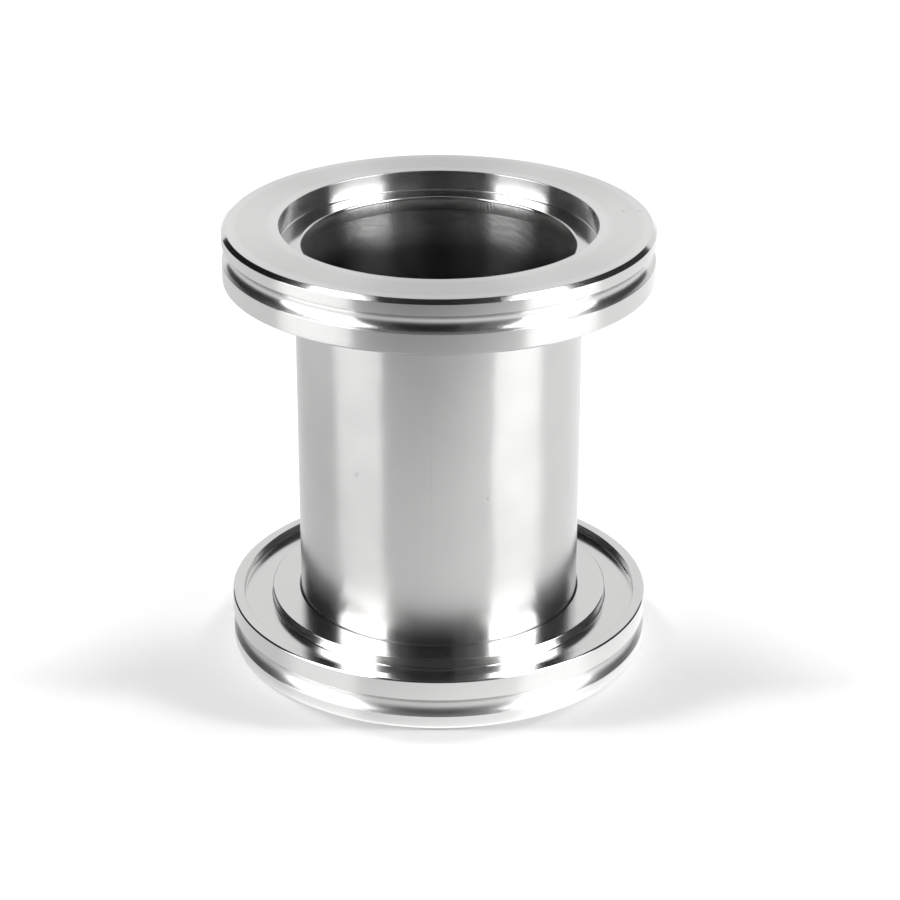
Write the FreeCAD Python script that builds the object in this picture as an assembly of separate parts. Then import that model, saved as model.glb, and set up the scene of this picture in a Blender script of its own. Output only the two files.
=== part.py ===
import FreeCAD, Part

import os

from FreeCAD import Vector

# Vacuum nipple with an ISO-K flange at each end, in millimetres.
# It stands on its lower sealing face: the origin is the centre of that face and +Z runs up the bore.

# Nipple
overall_length = 100.0
tube_outer_diameter = 63.5
tube_wall = 1.65

# Flange blank
flange_diameter = 95.0
flange_thickness = 12.0
face_edge_chamfer = 0.9
back_edge_break = 0.3

# Centring counterbore in the sealing face
centring_diameter = 70.0
centring_depth = 4.6
centring_lead_in = 0.2

# Lip that carries the inner weld, between the counterbore and the tube
lip_edge_break = 0.4
lip_land = 0.8

# Tube socket in the back of the flange
socket_clearance = 0.2
socket_lead_in = 0.25

# Claw groove in the back of the flange, between the rim and the hub
rim_width = 2.6
rim_inner_edge_break = 0.15
hub_width = 6.35
hub_rise = 0.3
hub_edge_break = 0.2
claw_groove_depth = 2.1
claw_groove_corner = 0.25

# Round-bottomed groove in the rim for a retaining ring
ring_groove_from_face = 5.35
ring_groove_width = 4.1
ring_groove_depth = 1.4

# Weld inside the bore
weld_preparation = 0.8
bead_width = 2.7
bead_crown = 0.15

# Radii and heights that follow, with heights measured from the sealing face
flange_radius = flange_diameter / 2
centring_radius = centring_diameter / 2
tube_radius = tube_outer_diameter / 2
bore_radius = tube_radius - tube_wall
socket_radius = tube_radius + socket_clearance
hub_radius = socket_radius + hub_width
rim_inner_radius = flange_radius - rim_width
hub_top = flange_thickness + hub_rise
claw_groove_floor = flange_thickness - claw_groove_depth
weld_edge = centring_depth + lip_edge_break + lip_land
shoulder = weld_edge + weld_preparation
tube_length = overall_length - 2 * shoulder


def point(radius, height):
    """A point of a turned section."""
    return Vector(radius, 0, height)


def last_point(step):
    """End of one step of a section."""
    return step[2] if isinstance(step, tuple) else step


def turned(section):
    """Solid of revolution about Z, from a closed section of points and of arcs as (start, middle, end)."""
    edges = []
    here = last_point(section[-1])
    for step in section:
        start = step[0] if isinstance(step, tuple) else step
        if not start.isEqual(here, 1e-7):
            edges.append(Part.makeLine(here, start))
        if isinstance(step, tuple):
            edges.append(Part.Arc(*step).toShape())
        here = last_point(step)
    return Part.Face(Part.Wire(edges)).revolve(Vector(0, 0, 0), Vector(0, 0, 1), 360)


def ring_groove():
    """Round-bottomed groove in the rim, from the lip near the face to the lip near the back."""
    half = ring_groove_width / 2
    return (
        point(flange_radius, ring_groove_from_face - half),
        point(flange_radius - ring_groove_depth, ring_groove_from_face),
        point(flange_radius, ring_groove_from_face + half),
    )


def rim_section():
    """Outside of the flange, from the sealing face round the rim to its inner wall."""
    return [
        point(centring_radius + centring_lead_in, 0),
        point(flange_radius - face_edge_chamfer, 0),
        point(flange_radius, face_edge_chamfer),
        ring_groove(),
        point(flange_radius, flange_thickness - back_edge_break),
        point(flange_radius - back_edge_break, flange_thickness),
        point(rim_inner_radius + rim_inner_edge_break, flange_thickness),
        point(rim_inner_radius, flange_thickness - rim_inner_edge_break),
    ]


def claw_groove_section():
    """Floor of the claw groove, with the small bevels that the tool leaves in its corners."""
    return [
        point(rim_inner_radius, claw_groove_floor + claw_groove_corner),
        point(rim_inner_radius - claw_groove_corner, claw_groove_floor),
        point(hub_radius + claw_groove_corner, claw_groove_floor),
        point(hub_radius, claw_groove_floor + claw_groove_corner),
    ]


def hub_section():
    """Hub, the socket that the tube stands in, and the shoulder that it stands on."""
    return [
        point(hub_radius, hub_top - hub_edge_break),
        point(hub_radius - hub_edge_break, hub_top),
        point(socket_radius + socket_lead_in, hub_top),
        point(socket_radius, hub_top - socket_lead_in),
        point(socket_radius, shoulder),
        point(bore_radius + weld_preparation, shoulder),
    ]


def lip_section():
    """Lip of the bore, and the ledge and wall of the centring counterbore."""
    return [
        point(bore_radius, weld_edge),
        point(bore_radius, centring_depth + lip_edge_break),
        point(bore_radius + lip_edge_break, centring_depth),
        point(centring_radius, centring_depth),
        point(centring_radius, centring_lead_in),
    ]


def make_flange():
    """Flange turned from one blank, lying on its sealing face."""
    return turned(rim_section() + claw_groove_section() + hub_section() + lip_section())


def make_tube():
    """Tube between the two shoulders, with its inner edges chamfered for the welds."""
    bottom = shoulder
    top = shoulder + tube_length
    return turned([
        point(tube_radius, bottom),
        point(tube_radius, top),
        point(bore_radius + weld_preparation, top),
        point(bore_radius, top - weld_preparation),
        point(bore_radius, bottom + weld_preparation),
        point(bore_radius + weld_preparation, bottom),
    ])


def make_bead():
    """Weld that fills the chamfers of lip and tube and stands a little proud of the bore."""
    half = bead_width / 2
    crown = (
        point(bore_radius, shoulder + half),
        point(bore_radius - bead_crown, shoulder),
        point(bore_radius, shoulder - half),
    )
    return turned([
        point(bore_radius, shoulder - weld_preparation),
        point(bore_radius + weld_preparation, shoulder),
        point(bore_radius, shoulder + weld_preparation),
        crown,
    ])


def at_top(shape):
    """A copy turned over, for the upper end of the nipple."""
    copy = shape.copy()
    copy.rotate(Vector(0, 0, overall_length / 2), Vector(1, 0, 0), 180)
    return copy


flange = make_flange()
bead = make_bead()

pieces = {
    "lower_flange": flange,
    "upper_flange": at_top(flange),
    "tube": make_tube(),
    "lower_weld_bead": bead,
    "upper_weld_bead": at_top(bead),
}

os.makedirs("parts", exist_ok=True)
for name, shape in pieces.items():
    shape.exportStep(os.path.join("parts", name + ".step"))
    print(name, "valid" if shape.isValid() else "NOT VALID", round(shape.Volume, 1), "mm3")
print("mass of steel", round(sum(shape.Volume for shape in pieces.values()) * 8.0e-6, 3), "kg")
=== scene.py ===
import math

import bpy
from mathutils import Matrix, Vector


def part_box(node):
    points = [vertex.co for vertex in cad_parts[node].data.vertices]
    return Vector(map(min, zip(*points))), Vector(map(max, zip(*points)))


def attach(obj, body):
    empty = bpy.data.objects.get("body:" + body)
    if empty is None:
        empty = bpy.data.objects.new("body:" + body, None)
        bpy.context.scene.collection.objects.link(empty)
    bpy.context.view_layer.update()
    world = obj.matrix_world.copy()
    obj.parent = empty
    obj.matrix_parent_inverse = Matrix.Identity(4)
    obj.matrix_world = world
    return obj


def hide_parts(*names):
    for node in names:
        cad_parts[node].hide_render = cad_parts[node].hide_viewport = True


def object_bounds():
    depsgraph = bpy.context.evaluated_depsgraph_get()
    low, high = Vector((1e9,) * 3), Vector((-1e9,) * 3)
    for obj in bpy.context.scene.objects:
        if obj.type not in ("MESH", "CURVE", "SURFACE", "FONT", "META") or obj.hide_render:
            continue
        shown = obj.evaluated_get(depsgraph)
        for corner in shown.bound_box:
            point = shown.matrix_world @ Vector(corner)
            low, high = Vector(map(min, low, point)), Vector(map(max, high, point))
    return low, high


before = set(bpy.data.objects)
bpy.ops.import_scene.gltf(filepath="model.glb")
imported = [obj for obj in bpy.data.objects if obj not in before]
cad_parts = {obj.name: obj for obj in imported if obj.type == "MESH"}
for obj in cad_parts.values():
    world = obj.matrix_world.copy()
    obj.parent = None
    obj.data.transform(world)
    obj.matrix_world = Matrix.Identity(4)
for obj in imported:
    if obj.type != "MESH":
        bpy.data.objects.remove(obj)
cad_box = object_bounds()

# Lengths below are in millimetres, as on a drawing, and become metres through MM.
MM = 0.001

# Sizes read from the frame
_, flange_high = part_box("lower_flange")
tube_low, tube_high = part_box("tube")
overall_length = (cad_box[1].z - cad_box[0].z) / MM
flange_radius = flange_high.x / MM
tube_radius = tube_high.x / MM
shoulder = tube_low.z / MM

# Flange, with heights measured from its sealing face
flange_thickness = 12.0
face_edge_chamfer = 0.9
back_edge_break = 0.3
centring_radius = 35.0
centring_depth = 4.6
centring_lead_in = 0.2
centring_corner = 0.3
lip_edge_break = 0.4
rim_width = 2.6
rim_inner_edge_break = 0.15
hub_width = 6.35
hub_rise = 0.3
hub_edge_break = 0.2
claw_groove_depth = 2.1
claw_groove_corner = 0.25
ring_groove_from_face = 5.35
ring_groove_width = 4.1
ring_groove_depth = 1.4
socket_clearance = 0.2
socket_lead_in = 0.25

# Tube and the weld inside it
tube_wall = 1.65
weld_preparation = 0.8
bead_width = 2.7
bead_crown = 0.06
ripple_pitch = 0.85
ripple_height = 0.05
ripple_least = 0.35
ripple_bow = 0.45
brushed_width = 7.4
bore_radius = tube_radius - tube_wall
weld_edge = shoulder - weld_preparation
ripple_count = round(2 * math.pi * bore_radius / ripple_pitch)

# How finely the round pieces are cut, with angles in degrees
round_steps = 256
ripple_steps = 8
edge_softness = 0.05
soft_edge_steps = 2
sharp_from = 24
weld_smooth_to = 30
merge_distance = 0.002
tolerance = 0.001

# Which faces of a flange take which finish
flat_from = 0.7
dull_flank_end = 0.5
on_wall, on_face, on_sealing_face, on_centring_wall, in_ring_groove, on_dull_flank = range(6)

# Which faces of the tube take which finish
outside, in_bore = range(2)


class Signal:
    """A socket of a material's nodes that takes part in sums."""

    def __init__(self, nodes, socket):
        self.nodes = nodes
        self.socket = socket

    def maths(self, operation, *values):
        return self.nodes.node("ShaderNodeMath", {"operation": operation}, *values)

    def __add__(self, other):
        return self.maths("ADD", self, other)

    def __radd__(self, other):
        return self.maths("ADD", other, self)

    def __sub__(self, other):
        return self.maths("SUBTRACT", self, other)

    def __rsub__(self, other):
        return self.maths("SUBTRACT", other, self)

    def __mul__(self, other):
        return self.maths("MULTIPLY", self, other)

    def __rmul__(self, other):
        return self.maths("MULTIPLY", other, self)

    def __pow__(self, other):
        return self.maths("POWER", self, other)

    def __neg__(self):
        return 0.0 - self


class Shading:
    """A tree of shader nodes, written as expressions."""

    def __init__(self, tree):
        self.tree = tree

    def node(self, kind, settings=None, *values, output=0, sockets=None, **named):
        """Adds one node: its settings first, then its sockets in order, by number and by name."""
        made = self.tree.nodes.new(kind)
        for name, value in (settings or {}).items():
            setattr(made, name, value)
        for key, value in [*enumerate(values), *(sockets or {}).items(), *named.items()]:
            socket = made.inputs[key.replace("_", " ") if isinstance(key, str) else key]
            self.feed(socket, value)
        return Signal(self, made.outputs[output])

    def feed(self, socket, value):
        """Links a signal to a socket, or sets a plain value on it."""
        if isinstance(value, Signal):
            self.tree.links.new(value.socket, socket)
        else:
            socket.default_value = value

    def ray(self, kind):
        """1 where the ray is of that kind."""
        return self.node("ShaderNodeLightPath", output=kind)

    def place(self):
        """Object coordinates in millimetres."""
        at = self.node("ShaderNodeTexCoord", output="Object")
        return self.node("ShaderNodeVectorMath", {"operation": "SCALE"}, at, Scale=1 / MM)

    def split(self, vector):
        """The three parts of a vector."""
        first = self.node("ShaderNodeSeparateXYZ", None, vector)
        return [Signal(self, part) for part in first.socket.node.outputs]

    def join(self, x, y, z):
        return self.node("ShaderNodeCombineXYZ", None, x, y, z)

    def noise(self, vector, scale, detail):
        """Soft random pattern, with its scale per millimetre."""
        return self.node("ShaderNodeTexNoise", None, vector, Scale=scale, Detail=detail, Roughness=0.5)

    def between(self, value, low, high):
        """Smooth step from 0 at low to 1 at high."""
        return self.node(
            "ShaderNodeMapRange", {"interpolation_type": "SMOOTHSTEP"}, value, low, high, 0.0, 1.0
        )

    def blend(self, share, first, second):
        """Colour that goes from first to second as share goes from 0 to 1."""
        return self.node(
            "ShaderNodeMix", {"data_type": "RGBA"}, share, output=2, sockets={6: first, 7: second}
        )


# Turn of the highlights, as a share of a full one, that spreads them across the marks of turning
across_marks = 0.25


class Finish(Shading):
    """A material, with the shader that its nodes feed."""

    def __init__(self, name):
        self.material = bpy.data.materials.new(name)
        self.material.use_nodes = True
        super().__init__(self.material.node_tree)
        self.shader = self.tree.nodes["Principled BSDF"]

    def set(self, **sockets):
        for name, value in sockets.items():
            self.feed(self.shader.inputs[name.replace("_", " ")], value)

    def steel(self, colour, roughness, spread):
        """Bare metal whose highlights spread by this share across its marks."""
        self.set(
            Base_Color=colour,
            Metallic=1.0,
            Roughness=roughness,
            Anisotropic=spread,
            Anisotropic_Rotation=across_marks,
        )

    def bump(self, height, distance):
        """Uneven surface, with its full height in millimetres."""
        relief = self.node("ShaderNodeBump", None, Strength=1.0, Distance=distance * MM, Height=height)
        self.set(Normal=relief)

    def surface(self, shader):
        """Uses another shader in place of the usual one."""
        self.tree.nodes.remove(self.shader)
        self.feed(self.tree.nodes["Material Output"].inputs["Surface"], shader)


def grey(value, warmth=0.0):
    """Neutral colour, with a little more red and less blue where the steel is warm."""
    return (value * (1 + warmth), value, value * (1 - 1.5 * warmth), 1.0)


def long_side(first, second):
    """Length of the long side over two sides at a right angle, of signals."""
    return (first * first + second * second) ** 0.5


def start_work():
    """Leaves edit mode and deselects everything."""
    if bpy.context.object and bpy.context.object.mode != "OBJECT":
        bpy.ops.object.mode_set(mode="OBJECT")
    bpy.ops.object.select_all(action="DESELECT")


def cut_ring(name, section, steps=round_steps):
    """Turned piece: one ring of edges, extruded from point to point of a closed section."""
    start_work()
    radius, height = section[0]
    bpy.ops.mesh.primitive_circle_add(vertices=steps, radius=radius * MM, location=(0, 0, height * MM))
    piece = bpy.context.object
    piece.name = name
    bpy.ops.object.transform_apply(location=True, rotation=True, scale=True)
    bpy.ops.object.mode_set(mode="EDIT")
    bpy.ops.mesh.select_all(action="SELECT")
    for next_radius, next_height in [*section[1:], section[0]]:
        rise = (next_height - height) * MM
        spread = next_radius / radius
        bpy.ops.mesh.extrude_region_move(TRANSFORM_OT_translate={"value": (0, 0, rise)})
        bpy.ops.transform.resize(value=(spread, spread, 1), center_override=(0, 0, next_height * MM))
        radius, height = next_radius, next_height
    bpy.ops.mesh.select_all(action="SELECT")
    bpy.ops.mesh.remove_doubles(threshold=merge_distance * MM)
    bpy.ops.mesh.normals_make_consistent(inside=False)
    bpy.ops.object.mode_set(mode="OBJECT")
    return piece


def soften_edges(piece):
    """Narrow rounds on every sharp edge, with normals that leave the wide faces flat."""
    bpy.ops.object.shade_smooth()
    bevel = piece.modifiers.new("soft_edges", "BEVEL")
    bevel.width = edge_softness * MM
    bevel.segments = soft_edge_steps
    bevel.limit_method = "ANGLE"
    bevel.angle_limit = math.radians(sharp_from)
    bpy.ops.object.modifier_apply(modifier=bevel.name)
    normals = piece.modifiers.new("true_faces", "WEIGHTED_NORMAL")
    normals.mode = "FACE_AREA"
    bpy.ops.object.modifier_apply(modifier=normals.name)


def arc(centre, radius, start, end, steps):
    """Points of an arc in the section, with its angles in degrees from the outward radius."""
    points = []
    for step in range(steps + 1):
        angle = math.radians(start + (end - start) * step / steps)
        points.append((centre[0] + radius * math.cos(angle), centre[1] + radius * math.sin(angle)))
    return points


def flange_section():
    """Closed section of the flange, sealing face down."""
    half = ring_groove_width / 2
    groove_radius = (half ** 2 + ring_groove_depth ** 2) / (2 * ring_groove_depth)
    groove_centre = (flange_radius - ring_groove_depth + groove_radius, ring_groove_from_face)
    groove_turn = math.degrees(math.asin(half / groove_radius))
    rim_inner = flange_radius - rim_width
    hub_top = flange_thickness + hub_rise
    socket_radius = tube_radius + socket_clearance
    hub_radius = socket_radius + hub_width
    floor = flange_thickness - claw_groove_depth
    rim = [
        (centring_radius + centring_lead_in, 0),
        (flange_radius - face_edge_chamfer, 0),
        (flange_radius, face_edge_chamfer),
        *arc(groove_centre, groove_radius, 180 + groove_turn, 180 - groove_turn, steps=16),
        (flange_radius, flange_thickness - back_edge_break),
        (flange_radius - back_edge_break, flange_thickness),
        (rim_inner + rim_inner_edge_break, flange_thickness),
        (rim_inner, flange_thickness - rim_inner_edge_break),
    ]
    claw_groove = [
        (rim_inner, floor + claw_groove_corner),
        (rim_inner - claw_groove_corner, floor),
        (hub_radius + claw_groove_corner, floor),
        (hub_radius, floor + claw_groove_corner),
    ]
    hub = [
        (hub_radius, hub_top - hub_edge_break),
        (hub_radius - hub_edge_break, hub_top),
        (socket_radius + socket_lead_in, hub_top),
        (socket_radius, hub_top - socket_lead_in),
        (socket_radius, shoulder),
        (bore_radius + weld_preparation, shoulder),
    ]
    lip_centre = (bore_radius + lip_edge_break, centring_depth + lip_edge_break)
    corner_centre = (centring_radius - centring_corner, centring_depth - centring_corner)
    lead_in_centre = (centring_radius + centring_lead_in, centring_lead_in)
    lip = [
        (bore_radius, weld_edge),
        *arc(lip_centre, lip_edge_break, 180, 270, steps=5),
        *arc(corner_centre, centring_corner, 90, 0, steps=4),
        *arc(lead_in_centre, centring_lead_in, 180, 225, steps=2),
    ]
    return rim + claw_groove + hub + lip


def tube_section():
    """Closed section of the tube, with its inner edges chamfered for the welds."""
    top = overall_length - shoulder
    return [
        (tube_radius, shoulder),
        (tube_radius, top),
        (bore_radius + weld_preparation, top),
        (bore_radius, top - weld_preparation),
        (bore_radius, shoulder + weld_preparation),
        (bore_radius + weld_preparation, shoulder),
    ]


def bead_section():
    """Weld in its prepared groove, with a crown that stands a little proud of the bore."""
    half = bead_width / 2
    crown_radius = (half ** 2 + bead_crown ** 2) / (2 * bead_crown)
    turn = math.degrees(math.asin(half / crown_radius))
    centre = (bore_radius - bead_crown + crown_radius, shoulder)
    return [
        (bore_radius + weld_preparation, shoulder),
        (bore_radius, shoulder + weld_preparation),
        *arc(centre, crown_radius, 180 - turn, 180 + turn, steps=12),
        (bore_radius, shoulder - weld_preparation),
    ]


def turn_over(piece, name):
    """A copy for the upper end, turned over about the middle of the nipple."""
    start_work()
    copy = piece.copy()
    copy.data = piece.data.copy()
    copy.name = name
    bpy.context.scene.collection.objects.link(copy)
    middle = Matrix.Translation((0, 0, overall_length / 2 * MM))
    copy.matrix_world = middle @ Matrix.Rotation(math.pi, 4, "X") @ middle.inverted()
    copy.select_set(True)
    bpy.context.view_layer.objects.active = copy
    bpy.ops.object.transform_apply(location=True, rotation=True, scale=True)
    return copy


# Turned steel: warmth of its grey, and how far its colour and its roughness vary to each side
steel_warmth = 0.004
smudge_change = 0.03
turning_change = 0.15


def turning_marks(finish, radius, z):
    """Fine marks that run round the axis."""
    return finish.noise(finish.join(radius, z, 0.0), scale=9.0, detail=3.0)


def smudges(finish):
    return finish.noise(finish.place(), scale=0.12, detail=3.0)


def marked(roughness, marks):
    """Roughness that varies with the marks of turning."""
    return roughness * (1 - turning_change + 2 * turning_change * marks)


def turned_steel(name, level, roughness, spread=0.95):
    """Turned steel: fine grooves run round the axis, so highlights spread across them."""
    finish = Finish(name)
    x, y, z = finish.split(finish.place())
    marks = turning_marks(finish, long_side(x, y), z)
    darker = grey(level * (1 - smudge_change), steel_warmth)
    paler = grey(level * (1 + smudge_change), steel_warmth)
    finish.steel(finish.blend(smudges(finish), darker, paler), marked(roughness, marks), spread)
    return finish.material


# Small pits in the upper sealing face: x, y and radius
face_pits = [(40.7, 7.3, 0.45), (44.3, 7.4, 0.40)]
pit_grey = 0.30


def sealing_steel():
    """Finely turned sealing face, a little paler beside its edges, with two small pits."""
    finish = Finish("sealing_face")
    x, y, z = finish.split(finish.place())
    radius = long_side(x, y)
    beside_rim = finish.between(radius, low=43.5, high=45.5)
    beside_counterbore = finish.between(radius, low=38.5, high=36.0)
    smudge_and_edges = 0.3 * smudges(finish) + 0.7 * (beside_rim + beside_counterbore)
    steel = finish.blend(smudge_and_edges, grey(0.62, steel_warmth), grey(0.69, steel_warmth))
    pits = sum(
        finish.between(long_side(x - pit_x, y - pit_y), low=pit_radius, high=0.0)
        for pit_x, pit_y, pit_radius in face_pits
    )
    at_upper_end = finish.between(z, low=50.0, high=60.0)
    colour = finish.blend(pits * at_upper_end, steel, grey(pit_grey))
    finish.steel(colour, marked(0.235, turning_marks(finish, radius, z)), spread=0.95)
    return finish.material


# Marks on the skin of the tube: azimuth in degrees, height, half width round the tube, half height,
# and for a dent how deep it is and how dark its painted shade is
tube_dents_and_painted_shade = [
    (-33.9, 51.3, 0.7, 1.0, 0.43),
    (19.6, 47.4, 0.4, 0.6, 0.84),
    (19.9, 49.2, 0.5, 0.5, 0.16),
    (22.3, 57.1, 0.9, 0.4, 0.11),
]
tube_scratches = [(-30.0, 56.0, 2.6, 0.12), (-4.0, 42.2, 6.5, 0.10), (-3.0, 53.0, 0.12, 30.0)]
# Grey of the scratches, and of the painted shade in the dents
marks_and_painted_shade_grey = 0.35
dent_depth = 0.04
scratch_darkness = 0.08
scratch_roughness = 0.05
# Skin of the tube: full height of its waves, its roughness, and the shares of that which vary
skin_unevenness = 0.25
skin_roughness = 0.20
lines_share = 0.06
mottle_share = 0.18


def satin_steel():
    """Belt-polished skin of the drawn tube, a little uneven, with a few dents and scratches, the dents
    darkened by painted shade.
    """
    finish = Finish("satin_tube")
    x, y, z = finish.split(finish.place())
    around = finish.node("ShaderNodeMath", {"operation": "ARCTAN2"}, x, -y) * tube_radius

    def spot(azimuth, height, half_width, half_height):
        """1 in the middle of a mark, falling to 0 at its edge."""
        aside = (around - math.radians(azimuth) * tube_radius) * (1 / half_width)
        above = (z - height) * (1 / half_height)
        return finish.between(long_side(aside, above), low=1.0, high=0.0)

    lines = finish.noise(finish.join(long_side(x, y), z, 0.0), scale=6.0, detail=4.0)
    mottle = finish.noise(finish.place(), scale=0.10, detail=4.0)
    waves = finish.noise(finish.join(x, y, z * 0.5), scale=0.06, detail=2.0)
    dents_and_painted_shade = sum(strength * spot(*place) for *place, strength in tube_dents_and_painted_shade)
    scratches = sum(spot(*scratch) for scratch in tube_scratches)
    skin = finish.blend(mottle, grey(0.54, steel_warmth), grey(0.61, steel_warmth))
    # Painted shade in the dents, and darker scratches
    colour = finish.blend(dents_and_painted_shade + scratch_darkness * scratches, skin, grey(marks_and_painted_shade_grey))
    even_share = 1 - (lines_share + mottle_share) / 2
    satin = skin_roughness * (even_share + lines_share * lines + mottle_share * mottle)
    finish.steel(colour, satin + scratch_roughness * scratches, spread=0.95)
    finish.bump(waves - (dent_depth / skin_unevenness) * dents_and_painted_shade, skin_unevenness)
    return finish.material


# How much paler painted light makes the brushed bands and the welds on the left, as seen from the camera
painted_light_share = 0.4


# Where light is painted: the left side, as seen from the camera
def painted_light_on_left(finish, x):
    return finish.between(x, low=5.0, high=-10.0)


def bore_steel():
    """Drawn bore with faint strokes, and a rougher band beside each weld that was brushed after welding,
    made paler on the left by painted light.
    """
    finish = Finish("drawn_bore")
    x, y, z = finish.split(finish.place())
    from_middle = finish.node("ShaderNodeMath", {"operation": "ABSOLUTE"}, z - overall_length / 2)
    band_edge = overall_length / 2 - shoulder - brushed_width
    drift = finish.noise(finish.place(), scale=0.08, detail=2.0)
    brushed = finish.between(from_middle + 5.0 * drift, low=band_edge - 1.5, high=band_edge + 5.0)
    slanted = finish.join(x * 0.35, y * 0.35, z * 1.6 + x * 0.5)
    strokes = finish.between(finish.noise(slanted, scale=1.0, detail=4.0), low=0.32, high=0.68)
    # Paler with the strokes, and with painted light on the left of the brushed bands
    paler = 0.2 * strokes + 0.2 + painted_light_share * brushed * painted_light_on_left(finish, x)
    colour = finish.blend(paler, grey(0.46, steel_warmth), grey(0.84, steel_warmth))
    finish.steel(colour, 0.16 + brushed * (0.08 + 0.02 * strokes), spread=0.93)
    return finish.material


def weld_steel():
    """Mottled weld metal, made paler by painted light on the same side as the brushed bands."""
    finish = Finish("weld_bead")
    x, _, _ = finish.split(finish.place())
    mottle = finish.noise(finish.place(), scale=0.8, detail=4.0)
    # Mottle, and painted light on the left
    paler = 0.7 * mottle + painted_light_share * painted_light_on_left(finish, x)
    colour = finish.blend(paler, grey(0.50, warmth=0.012), grey(0.78, warmth=0.008))
    finish.steel(colour, 0.22 + 0.05 * mottle, spread=0.85)
    return finish.material


def finish_piece(piece, node, slot, *materials):
    """Gives a piece its materials, hangs it on the root body and hides the CAD node that it stands for."""
    for material in materials:
        piece.data.materials.append(material)
    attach(piece, "root")
    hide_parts(node)


def flange_finish(face):
    """Which of the flange's finishes a face has."""
    height = face.center.z / MM
    depth = min(height, overall_length - height)
    radius = math.hypot(face.center.x, face.center.y) / MM
    from_groove = depth - ring_groove_from_face
    beside_groove = abs(from_groove) < ring_groove_width / 2
    if beside_groove and flange_radius - ring_groove_depth - edge_softness < radius < flange_radius:
        at_foot = height < overall_length / 2
        return on_dull_flank if at_foot and from_groove < dull_flank_end else in_ring_groove
    if abs(face.normal.z) > flat_from:
        return on_sealing_face if depth < tolerance else on_face
    if radius < centring_radius + edge_softness and depth < centring_depth:
        return on_centring_wall
    return on_wall


def tube_finish(face):
    """Which of the tube's finishes a face has."""
    inward = face.normal.x * face.center.x + face.normal.y * face.center.y < 0
    return in_bore if inward else outside


def ripple_crown(bead):
    """Raises the crescents that the welder's dabs leave along the crown of the bead."""
    half = bead_width / 2
    for vertex in bead.data.vertices:
        radius = math.hypot(vertex.co.x, vertex.co.y)
        across = (vertex.co.z / MM - shoulder) / half
        if radius / MM > bore_radius - tolerance or abs(across) >= 1:
            continue
        turn = math.atan2(vertex.co.y, vertex.co.x)
        uneven_pace = 0.5 * math.sin(5 * turn) + 0.3 * math.sin(13 * turn + 1)
        phase = ripple_count * turn / (2 * math.pi) + uneven_pace + ripple_bow * across ** 2
        strong_patch = max(0.0, math.sin(3 * turn + 0.8) * math.sin(7 * turn)) ** 0.5
        strength = ripple_least + (1 - ripple_least) * strong_patch
        lift = ripple_height * strength * abs(math.sin(math.pi * phase)) * (1 - across ** 2)
        narrower = 1 - lift * MM / radius
        vertex.co.x *= narrower
        vertex.co.y *= narrower


def make_nipple():
    """Both flanges, the tube and both welds, each end from one turned piece and its copy."""
    flange_finishes = {
        on_wall: turned_steel("turned_walls", level=0.62, roughness=0.20),
        on_face: turned_steel("turned_faces", level=0.62, roughness=0.13, spread=0.9),
        on_sealing_face: sealing_steel(),
        # The centring wall is a darker grey than the other turned steel: painted shade in the counterbore
        on_centring_wall: turned_steel("centring_wall_painted_shade", level=0.50, roughness=0.235, spread=1.0),
        in_ring_groove: turned_steel("ring_groove", level=0.62, roughness=0.235),
        on_dull_flank: turned_steel("dull_groove_flank", level=0.62, roughness=0.34, spread=0.9),
    }
    tube_finishes = {outside: satin_steel(), in_bore: bore_steel()}
    lower = cut_ring("lower_flange_turned", flange_section())
    soften_edges(lower)
    upper = turn_over(lower, "upper_flange_turned")
    for flange, node in ((lower, "lower_flange"), (upper, "upper_flange")):
        finish_piece(flange, node, "polished_flange", *flange_finishes.values())
        for face in flange.data.polygons:
            face.material_index = flange_finish(face)
    tube = cut_ring("tube_drawn", tube_section())
    soften_edges(tube)
    finish_piece(tube, "tube", "satin_tube", *tube_finishes.values())
    for face in tube.data.polygons:
        face.material_index = tube_finish(face)
    weld = weld_steel()
    lower_bead = cut_ring("lower_weld", bead_section(), ripple_count * ripple_steps)
    ripple_crown(lower_bead)
    bpy.ops.object.shade_smooth_by_angle(angle=math.radians(weld_smooth_to))
    upper_bead = turn_over(lower_bead, "upper_weld")
    for bead, node in ((lower_bead, "lower_weld_bead"), (upper_bead, "upper_weld_bead")):
        finish_piece(bead, node, "weld_bead", weld)


# Camera, from the fit of the photograph, in millimetres and degrees
camera_distance = 599.0
camera_elevation = 24.5
camera_roll = 0.14
aim_height = 45.3
focal_pixels = 2643.0
picture_pixels = 900
axis_pixel = 438.8


def add_camera():
    data = bpy.data.cameras.new("photo_view")
    data.sensor_width = 36.0
    data.lens = focal_pixels * data.sensor_width / picture_pixels
    data.clip_start = 0.01
    data.clip_end = 50.0
    camera = bpy.data.objects.new("photo_view", data)
    bpy.context.scene.collection.objects.link(camera)
    tilt = math.radians(camera_elevation)
    aside = (picture_pixels / 2 - axis_pixel) * camera_distance / focal_pixels
    place = Matrix.Translation((
        aside * MM,
        -camera_distance * math.cos(tilt) * MM,
        (aim_height + camera_distance * math.sin(tilt)) * MM,
    ))
    turn = Matrix.Rotation(math.radians(90) - tilt, 4, "X")
    roll = Matrix.Rotation(math.radians(camera_roll), 4, "Z")
    camera.matrix_world = place @ turn @ roll
    bpy.context.scene.camera = camera


def light_seen_by(thing, diffuse=False, glossy=False, shadow=False):
    """Hides a lamp or a panel from the camera and from all but the named rays."""
    thing.visible_camera = False
    thing.visible_diffuse = diffuse
    thing.visible_glossy = glossy
    thing.visible_transmission = False
    thing.visible_shadow = shadow


def upright(azimuth, distance, height):
    """Frame of a panel that stands on the floor and faces the object."""
    round_axis = Matrix.Rotation(math.radians(azimuth), 4, "Z")
    stand = Matrix.Rotation(math.radians(90), 4, "X")
    return round_axis @ Matrix.Translation((0, -distance, height / 2)) @ stand


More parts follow.
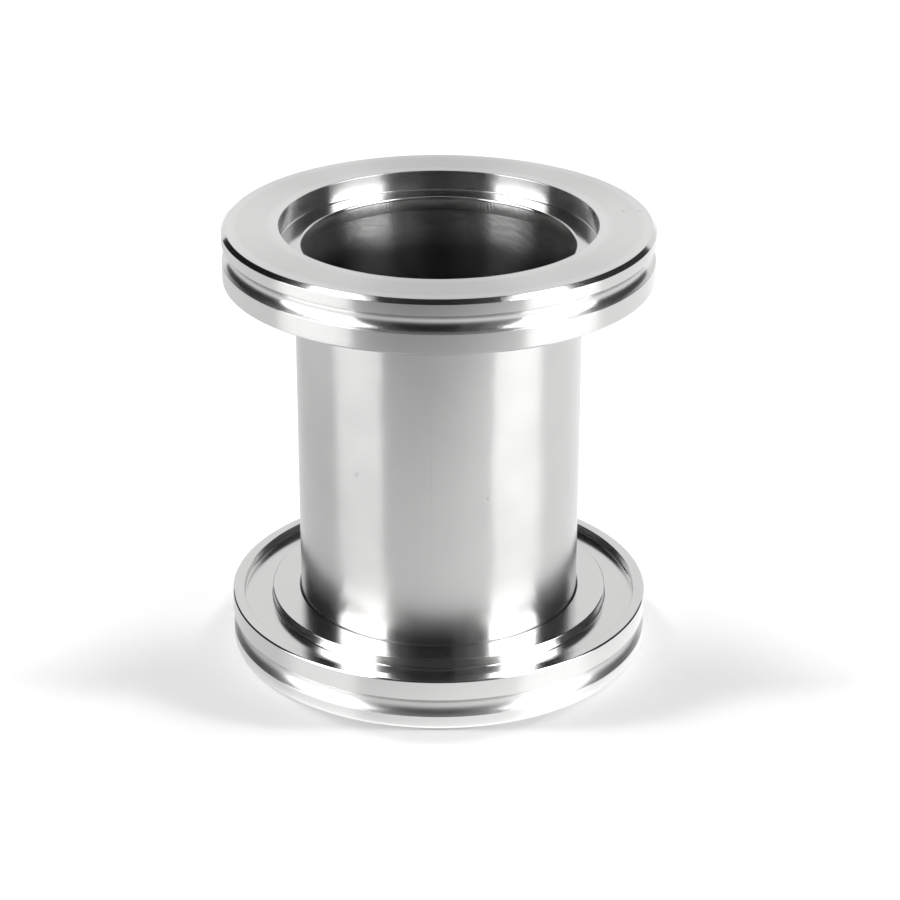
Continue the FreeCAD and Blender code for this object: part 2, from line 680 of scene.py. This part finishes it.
def panel_width(half_angle, distance):
    """Width of a panel that the object sees under twice this angle."""
    return 2 * distance * math.tan(math.radians(half_angle))


def add_softbox(name, azimuth, half_angle, distance, height, radiance):
    """Upright box light, from the floor up, that faces the object."""
    width = panel_width(half_angle, distance)
    data = bpy.data.lights.new(name, "AREA")
    data.shape = "RECTANGLE"
    data.size = width
    data.size_y = height
    data.energy = radiance * math.pi * width * height
    box = bpy.data.objects.new(name, data)
    bpy.context.scene.collection.objects.link(box)
    box.matrix_world = upright(azimuth, distance, height)
    light_seen_by(box, glossy=True)


def add_panel(name, place, shade):
    """Flat panel that only reflections see."""
    start_work()
    bpy.ops.mesh.primitive_plane_add(size=1)
    panel = bpy.context.object
    panel.name = name
    panel.matrix_world = place
    panel.data.materials.append(shade)
    light_seen_by(panel, glossy=True)


def glowing(name, strength):
    """Material with its own even brightness."""
    finish = Finish(name)
    finish.surface(finish.node("ShaderNodeEmission", None, Strength=strength))
    return finish.material


# Studio. An azimuth of 0 is the camera's side and 90 its right, and distances are in metres.
# Softboxes: azimuth, half width in degrees, distance, height, brightness
softboxes = {
    "right_softbox": (65, 21.5, 0.80, 1.4, 5.6),
    "left_softbox": (-65, 21.5, 0.80, 1.4, 5.0),
}
# Upright boards that the steel mirrors, with the same measures as the softboxes
boards = {
    "front_board": (-6, 18, 0.70, 1.4, 0.010),
    "front_right_board": (18, 6, 0.71, 1.4, 0.09),
    "right_flank_board": (34, 10, 0.75, 1.4, 0.20),
    "left_flank_board": (-33, 10, 0.75, 1.4, 0.07),
    "right_side_board": (112.5, 25.5, 0.80, 1.3, 0.04),
    "left_side_board": (-116, 29, 0.80, 1.3, 0.015),
}
# Boards that hang level above: height, size, middle behind the object, brightness
ceilings = {
    "ceiling_board": (1.40, 2.2, 0.3, 0.015),
    "overhead_board": (1.39, 0.8, 0.12, 0.55),
}
# Lamps that light only the matt floor: azimuth, elevation, spread, share of white
lamps = {
    "right_low_lamp": (90, 20, 10, 0.195),
    "left_low_lamp": (-90, 20, 10, 0.195),
    "right_rear_lamp": (135, 50, 14, 0.205),
    "left_rear_lamp": (-135, 50, 14, 0.205),
    "right_lamp": (105, 70, 20, 0.14),
    "left_lamp": (-105, 70, 20, 0.14),
    "right_high_lamp": (135, 80, 20, 0.06),
    "left_high_lamp": (-135, 80, 20, 0.06),
}
world_light = 0.02
floor_size = 24
floor_colour = 0.9

# Floor as the steel mirrors it: a card with its brightness in shares of white, and pairs of
# millimetres between which it changes
card_left = 0.76
card_right = 1.15
card_across = (-150.0, 150.0)
card_outer_left = (130.0, 240.0)
card_outer_left_lift = 0.20
card_front = (213.0, 240.0)
card_front_level = 0.54
card_end = (300.0, 340.0)
card_end_loss = 0.85
card_gloss = 0.03
card_gloss_roughness = 0.12
# Brighter patches round the foot, given by distance from the axis and by side
beside_foot_ring = (85.0, 50.0)
beside_foot_rightward = (-40.0, 20.0)
beside_foot_lift = 0.30
at_foot_ring = (51.0, 48.0)
at_foot_forward = (5.0, 35.0)
at_foot_lift = 0.35
# The card is black under the part: painted shade on the floor where the part stands
under_part_ring = (44.0, 46.0)


def mirrored_card(finish):
    """Brightness of the floor as the steel mirrors it."""
    x, y, _ = finish.split(finish.place())
    radius = long_side(x, y)
    rightward = finish.between(x, *card_across)
    leftward = finish.between(-x, *card_outer_left)
    in_front = finish.between(-y, *card_front)
    past_end = finish.between(-y, *card_end)
    beside_foot = finish.between(radius, *beside_foot_ring) * finish.between(x, *beside_foot_rightward)
    at_foot = finish.between(radius, *at_foot_ring) * finish.between(-y, *at_foot_forward)
    level = card_left + (card_right - card_left) * rightward + card_outer_left_lift * leftward
    level = level * (1.0 - (1 - card_front_level) * in_front)
    level = level + beside_foot_lift * beside_foot + at_foot_lift * at_foot
    return level * finish.between(radius, *under_part_ring) * (1.0 - card_end_loss * past_end)


def add_floor():
    """Matt floor that keeps the shadow of the object, and that the steel mirrors as a bright card."""
    start_work()
    bpy.ops.mesh.primitive_plane_add(size=floor_size)
    floor = bpy.context.object
    floor.name = "floor"
    finish = Finish("pale_floor")
    glow = finish.node("ShaderNodeEmission", None, Strength=mirrored_card(finish))
    gloss = finish.node(
        "ShaderNodeBsdfAnisotropic", None, grey(card_gloss), Roughness=card_gloss_roughness
    )
    card = finish.node("ShaderNodeAddShader", None, glow, gloss)
    matt = finish.node("ShaderNodeBsdfDiffuse", None, grey(floor_colour))
    finish.surface(finish.node("ShaderNodeMixShader", None, finish.ray("Is Glossy Ray"), matt, card))
    finish.material.cycles.emission_sampling = "NONE"
    floor.data.materials.append(finish.material)


def add_sun(name, azimuth, elevation, spread, share):
    """Soft lamp that gives the open floor this share of white."""
    data = bpy.data.lights.new(name, "SUN")
    data.energy = share * math.pi / (floor_colour * math.sin(math.radians(elevation)))
    data.angle = math.radians(spread)
    sun = bpy.data.objects.new(name, data)
    bpy.context.scene.collection.objects.link(sun)
    sun.matrix_world = (
        Matrix.Rotation(math.radians(azimuth), 4, "Z")
        @ Matrix.Rotation(math.radians(90 - elevation), 4, "X")
    )
    light_seen_by(sun, diffuse=True, shadow=True)


def set_world():
    """White surroundings for the camera and for reflections, dimmer as a light."""
    world = bpy.data.worlds.new("studio")
    bpy.context.scene.world = world
    world.use_nodes = True
    shading = Shading(world.node_tree)
    seen = shading.ray("Is Camera Ray") + shading.ray("Is Glossy Ray") + shading.ray("Is Transmission Ray")
    back = world.node_tree.nodes["Background"]
    shading.feed(back.inputs["Color"], grey(1.0))
    shading.feed(back.inputs["Strength"], world_light + (1 - world_light) * seen)


def add_studio():
    add_floor()
    set_world()
    for name, measures in softboxes.items():
        add_softbox(name, *measures)
    for name, (azimuth, half_angle, distance, height, brightness) in boards.items():
        size = Matrix.Diagonal((panel_width(half_angle, distance), height, 1, 1))
        add_panel(name, upright(azimuth, distance, height) @ size, glowing(name, brightness))
    for name, (height, size, middle, brightness) in ceilings.items():
        place = Matrix.Translation((0, middle, height)) @ Matrix.Scale(size, 4)
        add_panel(name, place, glowing(name, brightness))
    for name, measures in lamps.items():
        add_sun(name, *measures)


make_nipple()
add_studio()
add_camera()
bpy.context.scene.view_settings.view_transform = "Standard"
